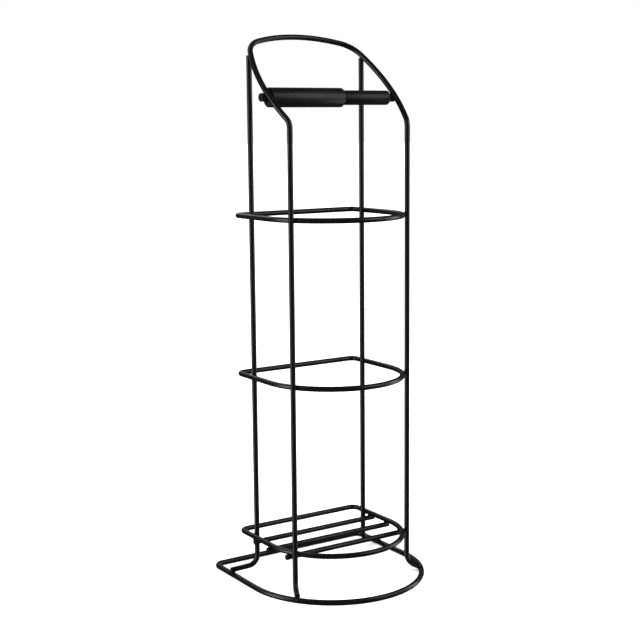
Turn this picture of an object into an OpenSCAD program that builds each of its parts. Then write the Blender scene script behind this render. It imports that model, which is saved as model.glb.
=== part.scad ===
// Free-standing toilet paper holder: a welded wire stand with a sloping hoop,
// three D-shaped rings, a three-bar shelf and a spring-loaded roller.
//
// Frame: the origin is on the floor at the centre of the base ring's outline,
// +Z is up, +X is to the right and -Y is the side that people stand at.

/* [Wire] */
// Diameter of every wire in the stand
wire_d = 6; // [5.5:0.1:6.5]
// Overall height, from the floor to the top of the hoop
overall_h = 610; // [580:5:640]

/* [Base ring] */
// Width of the base ring, outside
base_w = 210; // [208:1:220]
// Depth of the base ring, outside
base_d = 202; // [198:1:212]

/* [Upper rings] */
// Width of the three rings above the base, outside
ring_w = 166; // [160:1:168]
// Depth of the three rings above the base, outside
ring_d = 157; // [152:1:160]
// Radius of the back corners of every ring, at the wire's centre
ring_corner_r = 9; // [8:0.5:12]
// Height of the shelf ring's wire
shelf_z = 47; // [44:1:60]
// Height of the middle ring's wire
middle_z = 232; // [200:1:260]
// Height of the upper ring's wire
upper_z = 411; // [380:1:420]

/* [Shelf] */
// Distance between the shelf wires, counted from the ring's back wire
shelf_pitch = 32.5; // [28:0.5:34]
// How far each shelf wire passes the centre of the ring's wire
shelf_overhang = 3.5; // [3:0.5:6]
// How far the back shelf wire sits to the right of the other two
back_wire_shift = 2; // [0:0.5:2]

/* [Uprights] */
// Angle of the front legs round the rings' arc, forward of its widest line
front_leg_angle = 28; // [25:1:32]
// Distance of the rear uprights in front of the rings' back wire
rear_inset = 26.4; // [22:0.2:34]
// Bend radius of the feet, at the wire's centre
foot_bend_r = 12; // [10:1:14]
// How far a rear foot passes the centre of the base ring's wire
rear_foot_overhang = 3; // [1:0.5:5]
// Direction of the rear feet, backward from straight sideways
rear_foot_angle = 14; // [8:1:18]
// How far a rear foot falls from its bend to the base ring
rear_foot_drop = 3.5; // [2:0.5:4.5]
// Direction of the front feet, outward from straight ahead
front_foot_angle = 25; // [22:1:28]
// Length of a front foot, from the leg's axis to its end
front_foot_l = 17.5; // [17:0.25:18.5]
// How far a front foot falls from its bend to its end
front_foot_drop = 2.5; // [2:0.25:3]

/* [Hoop] */
// Slope of the hoop above the level
hoop_tilt = 42; // [38:1:46]
// Bend radius between a front leg and the hoop
kink_r = 14; // [10:1:18]
// Angle by which the hoop's sides leave the legs outward
toe_out = 13; // [11:1:14]
// Bend radius of the hoop's sides
hoop_side_r = 200; // [190:5:210]
// Bend radius of the hoop's two upper corners
hoop_corner_r = 30; // [26:1:34]
// Bend radius of the hoop's crown
hoop_crown_r = 168; // [160:2:176]
// Angle of the crown's arc to each side of its middle
hoop_crown_half = 18.7; // [18:0.1:19.5]

/* [Roller] */
// Outer diameter of the roller's large tube
outer_tube_d = 21; // [20:0.5:23]
// Outer diameter of the roller's small tube
inner_tube_d = 16; // [15:0.5:16.5]
// Length of the large tube
outer_tube_l = 93; // [85:1:100]
// Length of the small tube
inner_tube_l = 108; // [104:1:114]
// Outer diameter of the two sockets
socket_d = 9; // [8.6:0.2:10]
// Length of the two sockets
socket_l = 9; // [8.5:0.5:10]

/* [Hidden] */
$fn = 64;

coat = "#1d1d1f";
plastic = "#141416";
spring_steel = "#9a9ca0";
wire_r = wire_d / 2;
shortest_run = 0.01;
collar_l = 1;
proud = 0.03;

// Rings: half width, front, back and arc centre of the wire's centre line.
// All four arcs share one centre.
base_half = (base_w - wire_d) / 2;
base_back = (base_d - wire_d) / 2;
arc_y = base_half - base_back;
ring_half = (ring_w - wire_d) / 2;
ring_back = arc_y - ring_half + ring_d - wire_d;

// The front legs touch the rings from outside, the rear uprights from inside
leg_reach = ring_half + wire_d;
leg_x = leg_reach * cos(front_leg_angle);
leg_y = arc_y - leg_reach * sin(front_leg_angle);
rear_x = ring_half - wire_d;
rear_y = ring_back - rear_inset;

// The rear feet and the shelf ring each lie on top of the wires below them
foot_z = wire_r + wire_d;
shelf_wire_z = shelf_z - wire_d;
rear_foot_run = base_half - rear_x;
rear_foot_slope = rear_foot_drop / rear_foot_run;

// A front foot ends low on the inside of the base ring's arc
front_toe = [
    leg_x + front_foot_l * sin(front_foot_angle),
    leg_y - front_foot_l * cos(front_foot_angle),
    foot_z - front_foot_drop
];

// Hoop outline in its own plane: x across, v up the slope from the kink.
// Each bend is tangent to the next, so the outline is a polygon whose
// corners are rounded until the bends meet.
kink_turn = acos(cos(toe_out) * sin(hoop_tilt));
kink_tangent = kink_r * tan(kink_turn / 2);
hoop_half = leg_x + hoop_side_r * (1 - cos(toe_out)) + kink_tangent * sin(toe_out);
crown_offset = (hoop_crown_r - hoop_corner_r) * sin(hoop_crown_half);
side_end = asin((crown_offset + hoop_side_r - hoop_half) / (hoop_side_r - hoop_corner_r));
side_tangent = hoop_side_r * tan((90 + toe_out - side_end) / 2);
corner_tangent = hoop_corner_r * tan((side_end - hoop_crown_half) / 2);
crown_tangent = hoop_crown_r * tan(hoop_crown_half);
side_point = [leg_x, 0]
    + (kink_tangent + side_tangent) * [sin(toe_out), cos(toe_out)];
corner_point = side_point
    + (side_tangent + corner_tangent) * [-cos(side_end), sin(side_end)];
crown_v = corner_point[1] + (corner_tangent + crown_tangent) * sin(hoop_crown_half);
hoop_top_v = crown_v - hoop_crown_r * (1 / cos(hoop_crown_half) - 1);
kink_z = overall_h - wire_r - hoop_top_v * sin(hoop_tilt);

// Height of the hoop's axis where it passes over the rear uprights
hoop_over_rear = kink_z + (rear_y - leg_y) * tan(hoop_tilt);

// The roller hangs over the arcs' centre, its sockets under the hoop's sides
hoop_drop = wire_r + socket_d / 2;
roller_y = arc_y;
roller_z = kink_z + (roller_y - leg_y) * tan(hoop_tilt) - hoop_drop / cos(hoop_tilt);
socket_face = hoop_half - socket_l / 2;
socket_bore_d = 6.6;
socket_bore_l = 7;
socket_edge_r = 0.8;
bore_clearance = 0.05;
face_gap = 0.2;
nub_d = socket_bore_d - 2 * bore_clearance;
nub_l = 6;
nub_edge_r = 1.5;
roller_end = socket_face - face_gap;
tube_clearance = 0.08;
outer_edge_r = 1.6;
inner_edge_r = 1.6;
mouth_edge_r = 0.6;
end_wall = 3;
inner_tube_wall = 1.8;

// Compression spring between the large tube's end wall and the small tube
spring_wire_d = 1.1;
spring_d = 13;
spring_turns = 9;
spring_steps = 12;
spring_sides = 6;
spring_start = -roller_end + end_wall + spring_wire_d / 2;
spring_end = roller_end - inner_tube_l - spring_wire_d / 2;

// A weld is a small bead that reaches into both wires where they touch
weld_r = 2.4;
top_weld_drop = 7.5;

function unit(v) = v / norm(v);
function on_slope(p) = [p[0], leg_y + p[1] * cos(hoop_tilt), kink_z + p[1] * sin(hoop_tilt)];
function flip_x(p) = [-p[0], p[1], p[2]];
function cross_half(y) = y > arc_y ? ring_half : sqrt(pow(ring_half, 2) - pow(arc_y - y, 2));
function turn_at(a, b, c) = acos(unit(b - a) * unit(c - b));
function shelf_wire_y(i) = ring_back - shelf_pitch * i;

// Turns the Z axis to a direction
module aim(direction) {
    length = norm(direction);
    rotate([0, acos(direction[2] / length), atan2(direction[1], direction[0])]) children();
}

// A straight piece of wire
module straight(from, to) {
    run = to - from;
    if (norm(run) > shortest_run)
        translate(from) aim(run) cylinder(h = norm(run), d = wire_d);
}

// A bend of the given radius that rounds the corner b between a and c
module bend(a, b, c, radius) {
    ahead = unit(b - a);
    turn = turn_at(a, b, c);
    inward = unit(unit(c - b) - ahead * cos(turn));
    centre = b - ahead * radius * tan(turn / 2) + inward * radius;
    up = cross(ahead, inward);
    multmatrix([
        [-inward[0], ahead[0], up[0], centre[0]],
        [-inward[1], ahead[1], up[1], centre[1]],
        [-inward[2], ahead[2], up[2], centre[2]],
        [0, 0, 0, 1]
    ])
        rotate_extrude(angle = turn) translate([radius, 0]) circle(d = wire_d);
}

// A wire through the points, rounded at each corner by its radius. An open
// wire has a radius of 0 at both ends. Its pieces meet at odd angles, so
// collars that stand a hair proud of the wire fuse them.
module bent_wire(points, radii, closed = false) {
    count = len(points);
    last = closed ? count - 1 : count - 2;
    tangents = [
        for (i = [0 : count - 1])
            radii[i] == 0 ? 0 : radii[i] * tan(turn_at(
                points[(i + count - 1) % count],
                points[i],
                points[(i + 1) % count]) / 2)
    ];
    for (i = [0 : last]) {
        next = (i + 1) % count;
        along = unit(points[next] - points[i]);
        start = points[i] + along * tangents[i];
        end = points[next] - along * tangents[next];
        straight(start, end);
        if (!closed && i > 0) collar(start, along);
        if (!closed && i < last && norm(end - start) > shortest_run) collar(end, along);
    }
    for (i = [0 : count - 1])
        if (radii[i] > 0)
            bend(points[(i + count - 1) % count], points[i], points[(i + 1) % count], radii[i]);
}

// A hair-proud collar that fuses a run and a bend
module collar(p, direction) {
    translate(p) aim(direction) cylinder(h = collar_l, d = wire_d + 2 * proud, center = true);
}

// A D-shaped ring: straight back and sides, and a half circle in front
module d_ring(half, back, z) {
    front = arc_y - half;
    bent_wire(
        [[-half, back, z], [half, back, z], [half, front, z], [-half, front, z]],
        [ring_corner_r, ring_corner_r, half, half],
        closed = true);
}

// A round bar along +Z from the floor of its own frame, with a rounded end
module rounded_bar(d, length, edge_r) {
    rotate_extrude() {
        square([d / 2, length - edge_r]);
        square([d / 2 - edge_r, length]);
        intersection() {
            translate([d / 2 - edge_r, length - edge_r]) circle(r = edge_r);
            square([d / 2, length]);
        }
    }
}

// Places +Z along +X or -X on the roller's axis, starting at x
module on_axis(x, side) {
    translate([x, roller_y, roller_z]) rotate([0, side * 90, 0]) children();
}

module weld(p) {
    translate(p) sphere(r = weld_r);
}

// The front wire: both front legs, their feet and the hoop in one piece
module hoop_wire() {
    heel = [leg_x, leg_y, foot_z];
    right = [front_toe, heel, on_slope([leg_x, 0]), on_slope(side_point), on_slope(corner_point)];
    radii = [0, foot_bend_r, kink_r, hoop_side_r, hoop_corner_r];
    bent_wire(
        concat(
            [for (i = [0 : 4]) flip_x(right[i])],
            [on_slope([0, crown_v])],
            [for (i = [4 : -1 : 0]) right[i]]),
        concat(radii, [hoop_crown_r], [for (i = [4 : -1 : 0]) radii[i]]));
}

// The front feet are coped to the base ring's arc, here run on to a full circle
module hoop_frame() {
    color(coat)
        difference() {
            hoop_wire();
            translate([0, arc_y, wire_r])
                rotate_extrude() translate([base_half, 0]) circle(d = wire_d);
        }
}

// A point on a rear foot's axis, run ahead of the upright's axis
function rear_foot_point(side, run) = [
    side * (rear_x + run),
    rear_y + run * tan(rear_foot_angle),
    foot_z + rear_foot_slope * (rear_foot_run - run)
];

// A rear upright: foot across the base ring, top coped to the hoop's wire
module rear_upright(side) {
    color(coat)
        difference() {
            bent_wire(
                [
                    rear_foot_point(side, rear_foot_run + rear_foot_overhang),
                    rear_foot_point(side, 0),
                    [side * rear_x, rear_y, hoop_over_rear - wire_r]
                ],
                [0, foot_bend_r, 0]);
            hoop_wire();
        }
}

module base_ring() {
    color(coat) d_ring(base_half, base_back, wire_r);
}

module shelf_ring() {
    color(coat) d_ring(ring_half, ring_back, shelf_z);
}

module middle_ring() {
    color(coat) d_ring(ring_half, ring_back, middle_z);
}

module upper_ring() {
    color(coat) d_ring(ring_half, ring_back, upper_z);
}

// A straight wire under the shelf ring, counted from the back
module shelf_wire(i) {
    y = shelf_wire_y(i);
    reach = cross_half(y) + shelf_overhang;
    shift = i == 1 ? back_wire_shift : 0;
    color(coat) straight([shift - reach, y, shelf_wire_z], [shift + reach, y, shelf_wire_z]);
}

// A cup under the hoop's side that holds one end of the roller
module socket(side) {
    color(coat)
        on_axis(side * socket_face, side)
            difference() {
                rounded_bar(socket_d, socket_l, socket_edge_r);
                translate([0, 0, -1]) cylinder(h = socket_bore_l + 1, d = socket_bore_d);
            }
}

// Large tube: closed left end with its nub, open right end
module roller_outer_tube() {
    mouth = roller_end - outer_tube_l;
    color(plastic) {
        difference() {
            on_axis(-mouth - mouth_edge_r, -1)
                rounded_bar(outer_tube_d, outer_tube_l - mouth_edge_r, outer_edge_r);
            on_axis(-roller_end + end_wall, 1)
                cylinder(h = outer_tube_l, d = inner_tube_d + 2 * tube_clearance);
        }
        difference() {
            on_axis(-mouth - mouth_edge_r, 1)
                cylinder(
                    h = mouth_edge_r,
                    d1 = outer_tube_d,
                    d2 = outer_tube_d - 2 * mouth_edge_r);
            on_axis(-mouth - mouth_edge_r - 1, 1)
                cylinder(h = mouth_edge_r + 2, d = inner_tube_d + 2 * tube_clearance);
        }
        on_axis(-roller_end, -1) rounded_bar(nub_d, nub_l, nub_edge_r);
    }
}

// Small tube: slides in the large tube, closed right end with its nub
module roller_inner_tube() {
    color(plastic) {
        difference() {
            on_axis(roller_end - inner_tube_l, 1)
                rounded_bar(inner_tube_d, inner_tube_l, inner_edge_r);
            on_axis(roller_end - inner_tube_l - 1, 1)
                cylinder(
                    h = inner_tube_l - end_wall + 1,
                    d = inner_tube_d - 2 * inner_tube_wall);
        }
        on_axis(roller_end, 1) rounded_bar(nub_d, nub_l, nub_edge_r);
    }
}

// One point on the spring's surface: ring i along the wire, side j round it
function spring_point(i, j) =
    let (
        turn = 360 * i / spring_steps,
        round = 360 * j / spring_sides,
        reach = spring_d / 2 + spring_wire_d / 2 * cos(round),
        x = spring_start + (spring_end - spring_start) * i / (spring_turns * spring_steps)
    )
    [
        x + spring_wire_d / 2 * sin(round),
        roller_y + reach * cos(turn),
        roller_z + reach * sin(turn)
    ];

module roller_spring() {
    rings = spring_turns * spring_steps;
    n = spring_sides;
    color(spring_steel)
        polyhedron(
            points = [for (i = [0 : rings]) for (j = [0 : n - 1]) spring_point(i, j)],
            faces = concat(
                [[for (j = [0 : n - 1]) j]],
                [[for (j = [n - 1 : -1 : 0]) rings * n + j]],
                [
                    for (i = [0 : rings - 1]) for (j = [0 : n - 1])
                        [i * n + j, (i + 1) * n + j, (i + 1) * n + (j + 1) % n]
                ],
                [
                    for (i = [0 : rings - 1]) for (j = [0 : n - 1])
                        [i * n + j, (i + 1) * n + (j + 1) % n, i * n + (j + 1) % n]
                ]));
}

// The four beads that join a ring to the front legs and the rear uprights
module ring_welds(z) {
    front = ring_half + wire_r;
    color(coat)
        for (side = [-1, 1]) {
            weld([
                side * front * cos(front_leg_angle),
                arc_y - front * sin(front_leg_angle),
                z
            ]);
            weld([side * (ring_half - wire_r), rear_y, z]);
        }
}

// Two beads on each shelf wire, where it crosses under the shelf ring
module shelf_wire_welds() {
    color(coat)
        for (i = [1 : 3])
            for (side = [-1, 1])
                weld([side * cross_half(shelf_wire_y(i)), shelf_wire_y(i), shelf_z - wire_r]);
}

// One bead at each foot: under the rear ones, and at the end of the front ones
module foot_welds() {
    toe = [front_toe[0], front_toe[1] - arc_y];
    ring = toe * base_half / norm(toe);
    rear = rear_foot_point(1, rear_foot_run);
    color(coat)
        for (side = [-1, 1]) {
            weld([
                side * (toe[0] + ring[0]) / 2,
                arc_y + (toe[1] + ring[1]) / 2,
                (front_toe[2] + wire_r) / 2
            ]);
            weld([side * rear[0], rear[1], wire_d]);
        }
}

// One bead on the top of each rear upright, against the hoop
module hoop_welds() {
    z = hoop_over_rear - top_weld_drop;
    color(coat)
        for (side = [-1, 1]) translate([side * rear_x, rear_y, z]) sphere(d = wire_d + 1);
}

// One bead between each socket and the hoop's side, clear of the socket's bore
module socket_welds() {
    color(coat)
        difference() {
            for (side = [-1, 1])
                weld([
                    side * hoop_half,
                    roller_y - socket_d / 2 * sin(hoop_tilt),
                    roller_z + socket_d / 2 * cos(hoop_tilt)
                ]);
            on_axis(-overall_h, 1) cylinder(h = 2 * overall_h, d = (socket_d + socket_bore_d) / 2);
        }
}

hoop_frame();
rear_upright(-1);  // rear_upright_left
rear_upright(1);  // rear_upright_right
base_ring();
shelf_ring();
middle_ring();
upper_ring();
shelf_wire(1);  // shelf_wire_back
shelf_wire(2);  // shelf_wire_middle
shelf_wire(3);  // shelf_wire_front
socket(-1);  // socket_left
socket(1);  // socket_right
roller_outer_tube();
roller_inner_tube();
roller_spring();
ring_welds(upper_z);  // upper_ring_welds
ring_welds(middle_z);  // middle_ring_welds
ring_welds(shelf_z);  // shelf_ring_welds
shelf_wire_welds();
foot_welds();
hoop_welds();
socket_welds();
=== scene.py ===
"""Looks of a free-standing wire toilet paper holder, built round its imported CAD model.

Lengths are in metres. +Z is up, +X is to the right along the roller, and -Y is
the side that people stand at.
"""

import math

import bmesh
import bpy
from mathutils import Matrix, Vector, noise


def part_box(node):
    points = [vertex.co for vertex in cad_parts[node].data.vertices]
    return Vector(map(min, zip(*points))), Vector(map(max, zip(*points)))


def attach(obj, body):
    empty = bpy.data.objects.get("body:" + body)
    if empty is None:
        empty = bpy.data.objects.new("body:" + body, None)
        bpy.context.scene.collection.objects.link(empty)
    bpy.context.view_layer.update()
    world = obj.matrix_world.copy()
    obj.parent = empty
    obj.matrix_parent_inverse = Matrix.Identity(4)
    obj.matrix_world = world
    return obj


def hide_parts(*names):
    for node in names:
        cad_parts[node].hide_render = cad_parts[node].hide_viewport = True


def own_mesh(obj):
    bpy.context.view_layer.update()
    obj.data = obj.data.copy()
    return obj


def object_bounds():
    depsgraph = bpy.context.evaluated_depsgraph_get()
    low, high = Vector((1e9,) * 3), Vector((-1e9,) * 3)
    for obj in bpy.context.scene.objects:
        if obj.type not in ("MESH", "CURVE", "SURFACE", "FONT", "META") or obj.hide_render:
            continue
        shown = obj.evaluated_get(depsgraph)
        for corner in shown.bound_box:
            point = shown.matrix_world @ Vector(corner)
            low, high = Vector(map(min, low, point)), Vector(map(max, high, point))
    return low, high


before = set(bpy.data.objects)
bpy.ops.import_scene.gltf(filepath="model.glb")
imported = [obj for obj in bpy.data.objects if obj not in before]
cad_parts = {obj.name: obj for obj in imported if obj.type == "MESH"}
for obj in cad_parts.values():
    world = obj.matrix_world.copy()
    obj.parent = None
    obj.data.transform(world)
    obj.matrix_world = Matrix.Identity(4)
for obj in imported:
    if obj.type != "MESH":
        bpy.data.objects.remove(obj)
cad_low, cad_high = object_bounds()

X, Y, Z = Vector((1, 0, 0)), Vector((0, 1, 0)), Vector((0, 0, 1))
SIDES = (-1, 1)

# ---------------------------------------------------------------- dimensions

WIRE_R = 0.003
WIRE_SIDES = 32
CUT_EDGE_R = 0.0006
ARC_STEP = math.radians(3)
MIN_ARC_STEPS = 4
SAME_PLACE = 0.00001
RING_CORNER_R = 0.009

# Uprights and feet
LEG_ANGLE = math.radians(28)
REAR_INSET = 0.0264
FOOT_BEND_R = 0.012
REAR_FOOT_ANGLE = math.radians(14)
REAR_FOOT_DROP = 0.0035
REAR_FOOT_OVERHANG = 0.003
FRONT_FOOT_ANGLE = math.radians(25)
FRONT_FOOT_L = 0.0175
FRONT_FOOT_DROP = 0.0025

# Hoop: its slope, and its bends from the front leg to the crown
HOOP_TILT = math.radians(42)
TOE_OUT = math.radians(13)
KINK_R = 0.014
SIDE_R = 0.2
CORNER_R = 0.03
CROWN_R = 0.168
CROWN_HALF = math.radians(18.7)

# Sockets: the bevel is at the mouth of the bore
SOCKET_BORE_R = 0.0033
SOCKET_BORE_L = 0.007
SOCKET_EDGE_R = 0.0008
SOCKET_BEVEL = 0.0003

# Roller: its large and small tubes, and the nub on the end of each
OUTER_R = 0.0105
INNER_R = 0.008
BORE_R = 0.00808
NUB_R = 0.00325
NUB_L = 0.006
NUB_EDGE_R = 0.0015
NUB_FILLET = 0.0002
ROLLER_EDGE_R = 0.0016
MOUTH_EDGE_R = 0.0006
MOUTH_BEVEL = 0.0002
INNER_OUTSIDE_BEVEL = 0.0004
INNER_BORE_BEVEL = 0.0003
END_WALL = 0.003
INNER_WALL = 0.0018
ROUND_SIDES = 96
PARTING_RIDGE = 0.00008

# Spring
SPRING_WIRE_R = 0.00055
SPRING_R = 0.0065
SPRING_TURNS = 9
SPRING_STEPS = 40
SPRING_SIDES = 12
SPRING_EDGE_R = 0.0001

# Weld beads: half widths and half thicknesses, and the size of their lumps. The
# sockets' beads are thin, so that they don't reach through to the roller's nubs.
BEAD_HALF_W = 0.0025
BEAD_HALF_T = 0.0014
HOOP_BEAD_HALF_W = 0.0031
HOOP_BEAD_HALF_T = 0.0028
SOCKET_BEAD_HALF_T = 0.001
BEAD_NOISE = 0.1
BEAD_NOISE_SCALE = 2.2

# Lumps of the beads: how far each seed moves the noise, and the seeds. Those at a
# ring grow with its height, and those of the shelf wires from one wire to the next.
SEED_STEP_X = 7.3
SEED_STEP_Y = 1.9
LEG_SEED_PER_M = 10
REAR_SEED_PER_M = 20
SHELF_WIRE_SEED_STEP = 3
FRONT_FOOT_SEED = 31
REAR_FOOT_SEED = 41
HOOP_SEED = 51
SOCKET_SEED = 61

# Materials: the range that noise keeps to, and the depths of the bumps
FIELD_LOW = 0.3
FIELD_HIGH = 0.7
COAT_WAVINESS = 0.00003
WELD_WAVINESS = 0.00008
COAT_GRAIN = 0.000006
PLASTIC_GRAIN = 0.000014
PLASTIC_SCUFFS = 0.00001
STEEL_MOTTLING = 0.000005

# Floor
FLOOR_R = 30
FLOOR_SIDES = 64

# Brightness of the surround: as light, in reflections and as the camera sees it
SURROUND_LIGHT = 0.6
SURROUND_IN_GLOSS = 0.08
SURROUND_IN_VIEW = 1.0

# Light from above
SKY_STRENGTH = 6.0
SKY_WIDTH = math.radians(60)
SKY_PLACE = (-0.35, -0.6, 1.0)

# Soft boxes: azimuth and elevation in degrees, distance, width, height and watts.
# The two at elevation 0 reach below the floor, which doesn't hide them from the
# wires, so that upright wires mirror them along their whole length.
SOFTBOXES = {
    "right": (40, 24, 1.7, 1.0, 1.5, 7.0),
    "right_edge": (80, 0, 1.7, 0.6, 1.8, 8.0),
    "back": (175, 38, 1.8, 1.3, 1.0, 5.0),
    "left": (-106, 0, 1.7, 0.9, 2.2, 18.0),
}

# Camera: front left, and a little above the stand's middle
CAMERA_AZIMUTH = math.radians(-33.149)
CAMERA_ELEVATION = math.radians(8.819)
CAMERA_ROLL = math.radians(-0.517)
CAMERA_AIM = Vector((-0.0169, 0.0002, 0.2962))
CAMERA_DISTANCE = 1.4153
CAMERA_LENS = 71.9
CAMERA_REACH = 60


def unit(v):
    return v / v.length


def ring_outline(node):
    """Half width, back, arc centre and height of a D-shaped ring's centre line."""
    low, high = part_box(node)
    half = (high.x - low.x) / 2 - WIRE_R
    return half, high.y - WIRE_R, low.y + WIRE_R + half, (low.z + high.z) / 2


RING_HALF, RING_BACK, ARC_Y, SHELF_Z = ring_outline("shelf_ring")
BASE_HALF = ring_outline("base_ring")[0]
LEG_REACH = RING_HALF + 2 * WIRE_R
LEG_X = LEG_REACH * math.cos(LEG_ANGLE)
LEG_Y = ARC_Y - LEG_REACH * math.sin(LEG_ANGLE)
REAR_X = RING_HALF - 2 * WIRE_R
REAR_Y = RING_BACK - REAR_INSET
FOOT_Z = 3 * WIRE_R
HOOP_NORMAL = Vector((0, -math.sin(HOOP_TILT), math.cos(HOOP_TILT)))
ROLLER_LOW, ROLLER_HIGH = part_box("roller_outer_tube")
ROLLER_Y = (ROLLER_LOW.y + ROLLER_HIGH.y) / 2
ROLLER_Z = (ROLLER_LOW.z + ROLLER_HIGH.z) / 2
MIDDLE = (cad_low + cad_high) / 2


# ---------------------------------------------------------------- wire shapes


def turn_between(a, b, c):
    return (b - a).angle(c - b)


def arc_points(a, b, c, radius):
    """Points along the bend that rounds the corner b between a and c."""
    ahead = unit(b - a)
    turn = turn_between(a, b, c)
    inward = unit(unit(c - b) - ahead * math.cos(turn))
    centre = b - ahead * radius * math.tan(turn / 2) + inward * radius
    steps = max(MIN_ARC_STEPS, math.ceil(turn / ARC_STEP))
    angles = [turn * i / steps for i in range(steps + 1)]
    return [centre - inward * radius * math.cos(t) + ahead * radius * math.sin(t) for t in angles]


def rounded_path(corners, radii, closed=False):
    """Points along a polygon with rounded corners, no two of them at one place."""
    count = len(corners)
    path = []
    for i, (corner, radius) in enumerate(zip(corners, radii)):
        before, after = corners[i - 1], corners[(i + 1) % count]
        for p in arc_points(before, corner, after, radius) if radius else [corner]:
            if not path or (p - path[-1]).length > SAME_PLACE:
                path.append(p)
    if closed and (path[0] - path[-1]).length < SAME_PLACE:
        path.pop()
    return path


def ring_path(node):
    """Centre line of a D-shaped ring: a straight back, two bends and a half circle."""
    half, back, arc_y, z = ring_outline(node)
    front = arc_y - half
    corners = [(-half, back), (half, back), (half, front), (-half, front)]
    radii = [RING_CORNER_R, RING_CORNER_R, half, half]
    return rounded_path([Vector((x, y, z)) for x, y in corners], radii, closed=True)


def hoop_plan():
    """The hoop's outline on the right, from the kink to the crown's middle, as
    corners (across, up the slope) with their radii, and its greatest half width."""
    kink_turn = math.acos(math.cos(TOE_OUT) * math.sin(HOOP_TILT))
    kink_tangent = KINK_R * math.tan(kink_turn / 2)
    half = LEG_X + SIDE_R * (1 - math.cos(TOE_OUT)) + kink_tangent * math.sin(TOE_OUT)
    crown_offset = (CROWN_R - CORNER_R) * math.sin(CROWN_HALF)
    side_end = math.asin((crown_offset + SIDE_R - half) / (SIDE_R - CORNER_R))
    side_tangent = SIDE_R * math.tan((math.pi / 2 + TOE_OUT - side_end) / 2)
    corner_tangent = CORNER_R * math.tan((side_end - CROWN_HALF) / 2)
    crown_tangent = CROWN_R * math.tan(CROWN_HALF)
    start = Vector((LEG_X, 0))
    side = start + (kink_tangent + side_tangent) * Vector((math.sin(TOE_OUT), math.cos(TOE_OUT)))
    corner = side + (side_tangent + corner_tangent) * Vector((-math.cos(side_end), math.sin(side_end)))
    crown_v = corner.y + (corner_tangent + crown_tangent) * math.sin(CROWN_HALF)
    top_v = crown_v - CROWN_R * (1 / math.cos(CROWN_HALF) - 1)
    corners = [(start, KINK_R), (side, SIDE_R), (corner, CORNER_R), (Vector((0, crown_v)), CROWN_R)]
    return corners, half, top_v


HOOP_CORNERS, HOOP_HALF, HOOP_TOP_V = hoop_plan()
KINK_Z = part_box("hoop_frame")[1].z - WIRE_R - HOOP_TOP_V * math.sin(HOOP_TILT)


def on_slope(p):
    return Vector((p.x, LEG_Y + p.y * math.cos(HOOP_TILT), KINK_Z + p.y * math.sin(HOOP_TILT)))


def front_toe():
    """Where the right front foot ends, on its axis: low on the inside of the base ring."""
    ahead = Vector((math.sin(FRONT_FOOT_ANGLE), -math.cos(FRONT_FOOT_ANGLE), 0)) * FRONT_FOOT_L
    return Vector((LEG_X, LEG_Y, FOOT_Z - FRONT_FOOT_DROP)) + ahead


def hoop_path():
    """Centre line of the front wire, from the left foot's end over the crown to the right's."""
    right = [(front_toe(), 0), (Vector((LEG_X, LEG_Y, FOOT_Z)), FOOT_BEND_R)]
    right += [(on_slope(p), radius) for p, radius in HOOP_CORNERS[:-1]]
    crown = [(on_slope(p), radius) for p, radius in HOOP_CORNERS[-1:]]
    left = [(Vector((-p.x, p.y, p.z)), radius) for p, radius in right]
    corners, radii = zip(*(left + crown + right[::-1]))
    return rounded_path(list(corners), list(radii))


def rear_foot_point(side, run):
    """A point on a rear foot's axis, run ahead of the upright's axis."""
    whole_run = BASE_HALF - REAR_X
    return Vector((
        side * (REAR_X + run),
        REAR_Y + run * math.tan(REAR_FOOT_ANGLE),
        FOOT_Z + REAR_FOOT_DROP * (1 - run / whole_run)))


def rear_upright_path(side):
    """From the foot's end to the top, which reaches into the hoop's wire."""
    foot_end = rear_foot_point(side, BASE_HALF - REAR_X + REAR_FOOT_OVERHANG)
    top = Vector((side * REAR_X, REAR_Y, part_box("rear_upright_right")[1].z - WIRE_R / 2))
    return rounded_path([foot_end, rear_foot_point(side, 0), top], [0, FOOT_BEND_R, 0])


def straight_path(node):
    low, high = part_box(node)
    y, z = (low.y + high.y) / 2, (low.z + high.z) / 2
    return [Vector((low.x, y, z)), Vector((high.x, y, z))]


# ---------------------------------------------------------------- mesh making


def finish_piece(name, bm, material, body, node):
    """Turns a bmesh into a smooth piece that rides on a body and replaces a CAD node."""
    bmesh.ops.recalc_face_normals(bm, faces=bm.faces)
    mesh = bpy.data.meshes.new(name)
    bm.to_mesh(mesh)
    bm.free()
    for face in mesh.polygons:
        face.use_smooth = True
    mesh.materials.append(material)
    piece = bpy.data.objects.new(name, mesh)
    bpy.context.scene.collection.objects.link(piece)
    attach(piece, body)
    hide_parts(node)
    return piece


def ring_frames(points, closed):
    """A direction and a sideways vector at each point, carried along without twist."""
    count = len(points)
    ahead = []
    for i, p in enumerate(points):
        before = points[i - 1] if closed or i > 0 else p
        after = points[(i + 1) % count] if closed or i < count - 1 else p
        into = unit(p - before) if before is not p else Vector()
        out = unit(after - p) if after is not p else Vector()
        ahead.append(unit(into + out))
    side = unit(ahead[0].orthogonal())
    sides = []
    for i, direction in enumerate(ahead):
        if i:
            side = ahead[i - 1].rotation_difference(direction) @ side
        side = unit(side - direction * side.dot(direction))
        sides.append(side)
    return list(zip(ahead, sides))


def cut_end_rings(radius, edge_r):
    """(distance past the wire's end, radius) of the rings that round a cut end."""
    angles = [math.radians(a) for a in (0, 30, 60, 90)]
    return [(edge_r * math.sin(a) - edge_r, radius - edge_r * (1 - math.cos(a))) for a in angles]


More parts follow.
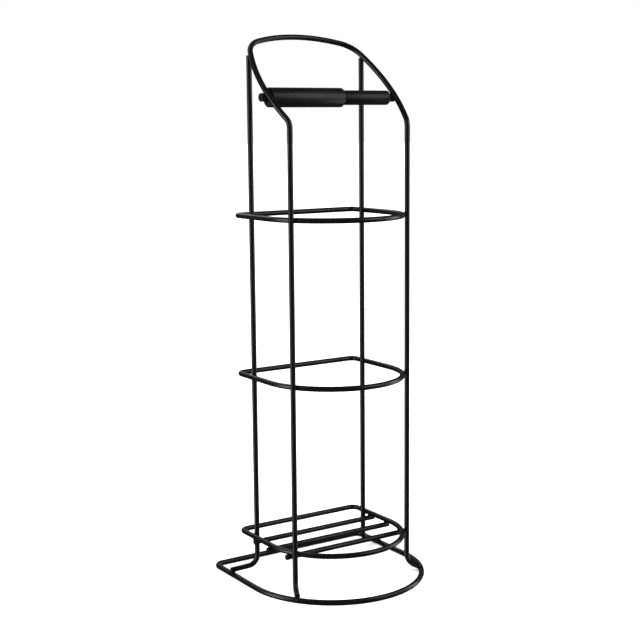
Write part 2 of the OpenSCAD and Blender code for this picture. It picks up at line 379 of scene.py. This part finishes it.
def add_tube(bm, points, radius, sides, closed=False, edge_r=CUT_EDGE_R):
    """Sweeps a circle along the points; an open tube gets rounded cut ends."""
    frames = ring_frames(points, closed)
    stations = [(p, a, s, radius) for p, (a, s) in zip(points, frames)]
    if not closed:
        ends = cut_end_rings(radius, edge_r)
        (first, (a0, s0)), (last, (a1, s1)) = (points[0], frames[0]), (points[-1], frames[-1])
        start = [(first - a0 * past, a0, s0, r) for past, r in reversed(ends)]
        finish = [(last + a1 * past, a1, s1, r) for past, r in ends]
        stations = start + stations[1:-1] + finish
    rings = []
    for p, ahead, side, r in stations:
        up = ahead.cross(side)
        turns = [2 * math.pi * k / sides for k in range(sides)]
        rings.append([bm.verts.new(p + (side * math.cos(t) + up * math.sin(t)) * r) for t in turns])
    pairs = list(zip(rings, rings[1:])) + ([(rings[-1], rings[0])] if closed else [])
    for one, two in pairs:
        for k in range(sides):
            bm.faces.new((one[k], one[(k + 1) % sides], two[(k + 1) % sides], two[k]))
    if not closed:
        bm.faces.new(rings[0])
        bm.faces.new(rings[-1])


def wire(node, points, material, closed=False):
    """One wire of the stand, swept along its centre line."""
    bm = bmesh.new()
    add_tube(bm, points, WIRE_R, WIRE_SIDES, closed)
    return finish_piece(node + "_coated", bm, material, "frame", node)


def lathe(bm, profile, parting=0.0, outer=()):
    """Turns a line of (x, radius) points, which starts and ends on the roller's axis,
    about it. The points listed in outer carry a fine parting ridge on two sides."""
    rings = []
    for i, (x, r) in enumerate(profile):
        if r == 0:
            rings.append([bm.verts.new((x, ROLLER_Y, ROLLER_Z))] * ROUND_SIDES)
            continue
        ring = []
        for k in range(ROUND_SIDES):
            on_ridge = k % (ROUND_SIDES // 2) == 0 and i in outer
            reach = r + (parting if on_ridge else 0)
            t = 2 * math.pi * k / ROUND_SIDES
            y, z = ROLLER_Y + reach * math.cos(t), ROLLER_Z + reach * math.sin(t)
            ring.append(bm.verts.new((x, y, z)))
        rings.append(ring)
    for one, two in zip(rings, rings[1:]):
        for k in range(ROUND_SIDES):
            n = (k + 1) % ROUND_SIDES
            corners = [one[k], one[n], two[n], two[k]]
            bm.faces.new(list(dict.fromkeys(corners)))


def rounded_edge(face_x, r, edge_r, inward, steps=5):
    """Points of a rounded outer edge, from the face at face_x out to radius r.
    inward is the sign of the x direction from the face into the solid."""
    angles = [math.pi / 2 * i / steps for i in range(steps + 1)]
    return [
        (face_x + inward * edge_r * (1 - math.cos(a)), r - edge_r * (1 - math.sin(a)))
        for a in angles
    ]


def add_bead(bm, centre, normal, along, seed, half_w=BEAD_HALF_W, half_t=BEAD_HALF_T):
    """A weld bead: a flattened, slightly lumpy ball that lies in the plane across normal."""
    n = unit(normal)
    a = unit(along - n * along.dot(n))
    turn = Matrix((a, n.cross(a), n)).transposed()
    made = bmesh.ops.create_icosphere(bm, subdivisions=4, radius=1)
    offset = Vector((seed * SEED_STEP_X, seed * SEED_STEP_Y, 0))
    for vert in made["verts"]:
        lump = 1 + BEAD_NOISE * noise.noise(vert.co * BEAD_NOISE_SCALE + offset)
        local = Vector((vert.co.x * half_w, vert.co.y * half_w, vert.co.z * half_t)) * lump
        vert.co = centre + turn @ local


# ---------------------------------------------------------------- materials


def new_material(name, roughness, specular, metallic=0.0):
    material = bpy.data.materials.new(name)
    material.use_nodes = True
    shader = material.node_tree.nodes["Principled BSDF"]
    shader.inputs["Roughness"].default_value = roughness
    shader.inputs["Specular IOR Level"].default_value = specular
    shader.inputs["Metallic"].default_value = metallic
    return material, material.node_tree, shader


def stretched_coordinates(tree, stretch=(1, 1, 1)):
    where = tree.nodes.new("ShaderNodeTexCoord")
    mapping = tree.nodes.new("ShaderNodeMapping")
    mapping.inputs["Scale"].default_value = stretch
    tree.links.new(where.outputs["Object"], mapping.inputs["Vector"])
    return mapping.outputs["Vector"]


def noise_field(tree, scale, detail=2.0, stretch=(1, 1, 1)):
    field = tree.nodes.new("ShaderNodeTexNoise")
    field.inputs["Scale"].default_value = scale
    field.inputs["Detail"].default_value = detail
    tree.links.new(stretched_coordinates(tree, stretch), field.inputs["Vector"])
    return field.outputs["Fac"]


def tone_from(tree, shader, field, dark, light):
    """Colours the shader from dark, where the field is low, to light."""
    ramp = tree.nodes.new("ShaderNodeValToRGB")
    first, last = ramp.color_ramp.elements
    first.position, first.color = FIELD_LOW, (*dark, 1)
    last.position, last.color = FIELD_HIGH, (*light, 1)
    tree.links.new(field, ramp.inputs["Fac"])
    tree.links.new(ramp.outputs["Color"], shader.inputs["Base Color"])


def roughness_from(tree, shader, field, low, high):
    """Spreads the shader's roughness from low to high by the field."""
    span = tree.nodes.new("ShaderNodeMapRange")
    span.inputs["From Min"].default_value = FIELD_LOW
    span.inputs["From Max"].default_value = FIELD_HIGH
    span.inputs["To Min"].default_value = low
    span.inputs["To Max"].default_value = high
    tree.links.new(field, span.inputs["Value"])
    tree.links.new(span.outputs["Result"], shader.inputs["Roughness"])


def bumps(tree, shader, layers):
    """Chains bump layers of (field, depth in metres) into the shader's normal."""
    normal = None
    for field, depth in layers:
        bump = tree.nodes.new("ShaderNodeBump")
        bump.inputs["Strength"].default_value = 1
        bump.inputs["Distance"].default_value = depth
        tree.links.new(field, bump.inputs["Height"])
        if normal:
            tree.links.new(normal, bump.inputs["Normal"])
        normal = bump.outputs["Normal"]
    tree.links.new(normal, shader.inputs["Normal"])


def coated_wire(name, waviness):
    """Black powder coat on steel wire: satin, with an orange peel as deep as waviness."""
    material, tree, shader = new_material(name, roughness=0.28, specular=0.5)
    tone = noise_field(tree, scale=45, detail=5)
    tone_from(tree, shader, tone, dark=(0.0006, 0.0006, 0.0007), light=(0.0016, 0.0015, 0.0016))
    roughness_from(tree, shader, noise_field(tree, scale=220, detail=3), low=0.24, high=0.34)
    bumps(tree, shader, [
        (noise_field(tree, scale=700, detail=2), waviness),
        (noise_field(tree, scale=2600, detail=1), COAT_GRAIN),
    ])
    return material


def roller_plastic():
    """Black moulded plastic: matte, with a fine grain and faint scuffs along the roller."""
    material, tree, shader = new_material("roller_plastic", roughness=0.4, specular=0.5)
    tone = noise_field(tree, scale=30, detail=4)
    tone_from(tree, shader, tone, dark=(0.0006, 0.0006, 0.0007), light=(0.0016, 0.0016, 0.0017))
    shine = noise_field(tree, scale=90, detail=4, stretch=(0.4, 1, 1))
    roughness_from(tree, shader, shine, low=0.36, high=0.44)
    bumps(tree, shader, [
        (noise_field(tree, scale=1800, detail=2), PLASTIC_GRAIN),
        (noise_field(tree, scale=160, detail=2, stretch=(0.3, 1, 1)), PLASTIC_SCUFFS),
    ])
    return material


def spring_steel():
    """Drawn spring wire: grey metal, finely mottled."""
    material, tree, shader = new_material("spring_steel", roughness=0.35, specular=0.5, metallic=1.0)
    tone = noise_field(tree, scale=900, detail=3)
    tone_from(tree, shader, tone, dark=(0.28, 0.28, 0.29), light=(0.46, 0.46, 0.47))
    roughness_from(tree, shader, noise_field(tree, scale=1500, detail=2), low=0.25, high=0.42)
    bumps(tree, shader, [(noise_field(tree, scale=4000, detail=2), STEEL_MOTTLING)])
    return material


def pale_floor():
    material, tree, shader = new_material("pale_floor", roughness=0.9, specular=0.1)
    tone = noise_field(tree, scale=3, detail=2)
    tone_from(tree, shader, tone, dark=(0.86, 0.86, 0.86), light=(0.88, 0.88, 0.88))
    return material


# ---------------------------------------------------------------- the stand


def build_wires(coat):
    for node in ("base_ring", "shelf_ring", "middle_ring", "upper_ring"):
        wire(node, ring_path(node), coat, closed=True)
    for node in ("shelf_wire_back", "shelf_wire_middle", "shelf_wire_front"):
        wire(node, straight_path(node), coat)
    wire("rear_upright_left", rear_upright_path(-1), coat)
    wire("rear_upright_right", rear_upright_path(1), coat)
    wire("hoop_frame", hoop_path(), coat)


def build_ring_welds(ring, bead_coat):
    """Beads between a ring and the front legs outside it and the rear uprights inside it."""
    z = ring_outline(ring)[3]
    contact = RING_HALF + WIRE_R
    bm = bmesh.new()
    for side in SIDES:
        outward = Vector((side * math.cos(LEG_ANGLE), -math.sin(LEG_ANGLE), 0))
        leg_seed, rear_seed = z * LEG_SEED_PER_M + side, z * REAR_SEED_PER_M + side
        add_bead(bm, Vector((0, ARC_Y, z)) + outward * contact, outward, Z, leg_seed)
        add_bead(bm, Vector((side * (RING_HALF - WIRE_R), REAR_Y, z)), X, Z, rear_seed)
    node = ring + "_welds"
    finish_piece(node + "_beads", bm, bead_coat, "frame", node)


def build_shelf_wire_welds(bead_coat):
    """Beads between the shelf ring and the three wires under it."""
    bm = bmesh.new()
    for i, node in enumerate(("shelf_wire_back", "shelf_wire_middle", "shelf_wire_front")):
        y = straight_path(node)[0].y
        ahead = min(0, y - ARC_Y)
        half = math.sqrt(RING_HALF**2 - ahead**2)
        for side in SIDES:
            seed = SHELF_WIRE_SEED_STEP * i + side
            add_bead(bm, Vector((side * half, y, SHELF_Z - WIRE_R)), Z, X, seed)
    finish_piece("shelf_wire_welds_beads", bm, bead_coat, "frame", "shelf_wire_welds")


def build_foot_welds(bead_coat):
    """Beads at the feet: under the rear ones, and at the end of the front ones."""
    toe, centre = front_toe(), Vector((0, ARC_Y, 0))
    level = Vector((toe.x, toe.y - ARC_Y, 0))
    ring = centre + unit(level) * BASE_HALF + Z * WIRE_R
    rear = rear_foot_point(1, BASE_HALF - REAR_X) - Z * WIRE_R
    bm = bmesh.new()
    for side in SIDES:
        mirror = Vector((side, 1, 1))
        add_bead(bm, (toe + ring) / 2 * mirror, (toe - ring) * mirror, X, FRONT_FOOT_SEED + side)
        add_bead(bm, rear * mirror, Z, X, REAR_FOOT_SEED + side)
    finish_piece("foot_welds_beads", bm, bead_coat, "frame", "foot_welds")


def build_hoop_welds(bead_coat):
    """Beads between the hoop and the tops of the rear uprights."""
    low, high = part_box("hoop_welds")
    centre_y, centre_z = (low.y + high.y) / 2, (low.z + high.z) / 2
    bm = bmesh.new()
    for side in SIDES:
        centre = Vector((side * REAR_X, centre_y, centre_z))
        add_bead(
            bm, centre, HOOP_NORMAL, X, HOOP_SEED + side, HOOP_BEAD_HALF_W, HOOP_BEAD_HALF_T)
    finish_piece("hoop_welds_beads", bm, bead_coat, "frame", "hoop_welds")


def build_sockets(coat, bead_coat):
    """Cups under the hoop's sides: rounded outside, with a blind bore for the roller's nub."""
    bm = bmesh.new()
    for side, node in zip(SIDES, ("socket_left", "socket_right")):
        low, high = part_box(node)
        face, back = (high.x, low.x) if side < 0 else (low.x, high.x)
        outer_r = (high.z - low.z) / 2
        bevel_x, bottom_x = face + side * SOCKET_BEVEL, face + side * SOCKET_BORE_L
        profile = [(back, 0)]
        profile += rounded_edge(back, outer_r, SOCKET_EDGE_R, -side)
        profile += [(bevel_x, outer_r), (face, outer_r - SOCKET_BEVEL)]
        profile += [(face, SOCKET_BORE_R + SOCKET_BEVEL), (bevel_x, SOCKET_BORE_R)]
        profile += [(bottom_x, SOCKET_BORE_R), (bottom_x, 0)]
        cup = bmesh.new()
        lathe(cup, profile)
        finish_piece(node + "_coated", cup, coat, "frame", node)
        centre = Vector((side * HOOP_HALF, ROLLER_Y, ROLLER_Z)) + HOOP_NORMAL * outer_r
        add_bead(bm, centre, HOOP_NORMAL, X, SOCKET_SEED + side, half_t=SOCKET_BEAD_HALF_T)
    finish_piece("socket_welds_beads", bm, bead_coat, "frame", "socket_welds")


# ---------------------------------------------------------------- the roller


def build_outer_tube(plastic):
    """The large tube: a nub and a closed end on the left, and an open mouth."""
    low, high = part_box("roller_outer_tube")
    end = low.x + NUB_L
    mouth = high.x
    nub = rounded_edge(low.x, NUB_R, NUB_EDGE_R, 1)
    body = rounded_edge(end, OUTER_R, ROLLER_EDGE_R, 1)
    profile = [(low.x, 0), *nub, (end - NUB_FILLET, NUB_R), (end, NUB_R + NUB_FILLET)]
    profile += body
    profile += [
        (mouth - MOUTH_EDGE_R, OUTER_R),
        (mouth - MOUTH_EDGE_R / 3, OUTER_R - MOUTH_EDGE_R / 3),
        (mouth, OUTER_R - MOUTH_EDGE_R),
    ]
    profile += [(mouth, BORE_R + MOUTH_BEVEL), (mouth - MOUTH_BEVEL, BORE_R)]
    profile += [(end + END_WALL, BORE_R), (end + END_WALL, 0)]
    first = profile.index(body[-1])
    bm = bmesh.new()
    lathe(bm, profile, PARTING_RIDGE, outer=(first, first + 1))
    finish_piece("roller_outer_tube_moulded", bm, plastic, "roller", "roller_outer_tube")


def build_inner_tube(plastic):
    """The small tube: a nub and a closed end on the right, and an open end inside."""
    low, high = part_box("roller_inner_tube")
    end = high.x - NUB_L
    nub = rounded_edge(high.x, NUB_R, NUB_EDGE_R, -1)
    body = rounded_edge(end, INNER_R, ROLLER_EDGE_R, -1)
    bore_r = INNER_R - INNER_WALL
    profile = [(high.x, 0), *nub, (end + NUB_FILLET, NUB_R), (end, NUB_R + NUB_FILLET)]
    profile += body
    profile += [(low.x + INNER_OUTSIDE_BEVEL, INNER_R), (low.x, INNER_R - INNER_OUTSIDE_BEVEL)]
    profile += [(low.x, bore_r + INNER_BORE_BEVEL), (low.x + INNER_BORE_BEVEL, bore_r)]
    profile += [(end - END_WALL, bore_r), (end - END_WALL, 0)]
    bm = bmesh.new()
    lathe(bm, profile)
    finish_piece(
        "roller_inner_tube_moulded", bm, plastic, "roller_plunger", "roller_inner_tube")


def build_spring(steel):
    """A round-wire compression spring that shortens as the small tube slides in."""
    low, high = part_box("roller_spring")
    start, end = low.x + SPRING_WIRE_R, high.x - SPRING_WIRE_R
    count = SPRING_TURNS * SPRING_STEPS
    points = []
    for i in range(count + 1):
        turn = 2 * math.pi * i / SPRING_STEPS
        x = start + (end - start) * i / count
        y, z = ROLLER_Y + SPRING_R * math.cos(turn), ROLLER_Z + SPRING_R * math.sin(turn)
        points.append(Vector((x, y, z)))
    bm = bmesh.new()
    add_tube(bm, points, SPRING_WIRE_R, SPRING_SIDES, edge_r=SPRING_EDGE_R)
    spring = finish_piece("roller_spring_coil", bm, steel, "roller", "roller_spring")
    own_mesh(spring)


# ---------------------------------------------------------------- the studio


def build_floor():
    """A wide pale disc, which doesn't show in reflections."""
    bm = bmesh.new()
    bmesh.ops.create_circle(bm, cap_ends=True, radius=FLOOR_R, segments=FLOOR_SIDES)
    mesh = bpy.data.meshes.new("floor")
    bm.to_mesh(mesh)
    bm.free()
    mesh.materials.append(pale_floor())
    floor = bpy.data.objects.new("floor", mesh)
    floor.visible_glossy = False
    bpy.context.scene.collection.objects.link(floor)


def toward(azimuth, elevation):
    """The direction out from the stand, in radians: azimuth 0 is in front, 90 degrees right."""
    return Vector((
        math.sin(azimuth) * math.cos(elevation),
        -math.cos(azimuth) * math.cos(elevation),
        math.sin(elevation)))


def add_lamp(name, light, place, aim):
    lamp = bpy.data.objects.new(name, light)
    lamp.location = place
    lamp.rotation_euler = (Vector(aim) - Vector(place)).to_track_quat("-Z", "Y").to_euler()
    bpy.context.scene.collection.objects.link(lamp)
    return lamp


def softbox(name, azimuth, elevation, distance, width, height, watts):
    """A rectangular light that faces the middle of the stand."""
    light = bpy.data.lights.new(name, "AREA")
    light.shape = "RECTANGLE"
    light.size, light.size_y, light.energy = width, height, watts
    away = toward(math.radians(azimuth), math.radians(elevation))
    add_lamp(name, light, MIDDLE + away * distance, MIDDLE)


def sky_light():
    """A broad soft light from above, which doesn't show in reflections."""
    light = bpy.data.lights.new("sky", "SUN")
    light.energy = SKY_STRENGTH
    light.angle = SKY_WIDTH
    add_lamp("sky", light, SKY_PLACE, (0, 0, 0)).visible_glossy = False


def surround(tree, strength):
    shade = tree.nodes.new("ShaderNodeBackground")
    shade.inputs["Color"].default_value = (1, 1, 1, 1)
    shade.inputs["Strength"].default_value = strength
    return shade.outputs["Background"]


def build_world():
    """A white surround, less bright as light, and dim in reflections."""
    world = bpy.data.worlds.new("studio")
    bpy.context.scene.world = world
    world.use_nodes = True
    tree = world.node_tree
    tree.nodes.remove(tree.nodes["Background"])
    path = tree.nodes.new("ShaderNodeLightPath")
    chosen = surround(tree, SURROUND_LIGHT)
    steps = (("Is Glossy Ray", SURROUND_IN_GLOSS), ("Is Camera Ray", SURROUND_IN_VIEW))
    for ray, strength in steps:
        choose = tree.nodes.new("ShaderNodeMixShader")
        tree.links.new(path.outputs[ray], choose.inputs["Fac"])
        tree.links.new(chosen, choose.inputs[1])
        tree.links.new(surround(tree, strength), choose.inputs[2])
        chosen = choose.outputs["Shader"]
    tree.links.new(chosen, tree.nodes["World Output"].inputs["Surface"])


def build_lights():
    sky_light()
    for name, settings in SOFTBOXES.items():
        softbox(name, *settings)


def build_camera():
    back = toward(CAMERA_AZIMUTH, CAMERA_ELEVATION)
    level = Vector((math.cos(CAMERA_AZIMUTH), math.sin(CAMERA_AZIMUTH), 0))
    upward = back.cross(level)
    right = level * math.cos(CAMERA_ROLL) + upward * math.sin(CAMERA_ROLL)
    up = upward * math.cos(CAMERA_ROLL) - level * math.sin(CAMERA_ROLL)
    turn = Matrix((right, up, back)).transposed().to_4x4()
    camera = bpy.data.cameras.new("camera")
    camera.lens = CAMERA_LENS
    camera.clip_end = CAMERA_REACH
    eye = bpy.data.objects.new("camera", camera)
    eye.matrix_world = Matrix.Translation(CAMERA_AIM + back * CAMERA_DISTANCE) @ turn
    bpy.context.scene.collection.objects.link(eye)
    bpy.context.scene.camera = eye


coat = coated_wire("coated_wire", COAT_WAVINESS)
bead_coat = coated_wire("coated_weld", WELD_WAVINESS)
plastic = roller_plastic()

build_camera()
build_wires(coat)
for ring in ("upper_ring", "middle_ring", "shelf_ring"):
    build_ring_welds(ring, bead_coat)
build_shelf_wire_welds(bead_coat)
build_foot_welds(bead_coat)
build_hoop_welds(bead_coat)
build_sockets(coat, bead_coat)
build_outer_tube(plastic)
build_inner_tube(plastic)
build_spring(spring_steel())
build_floor()
build_world()
build_lights()
bpy.context.scene.view_settings.view_transform = "Standard"
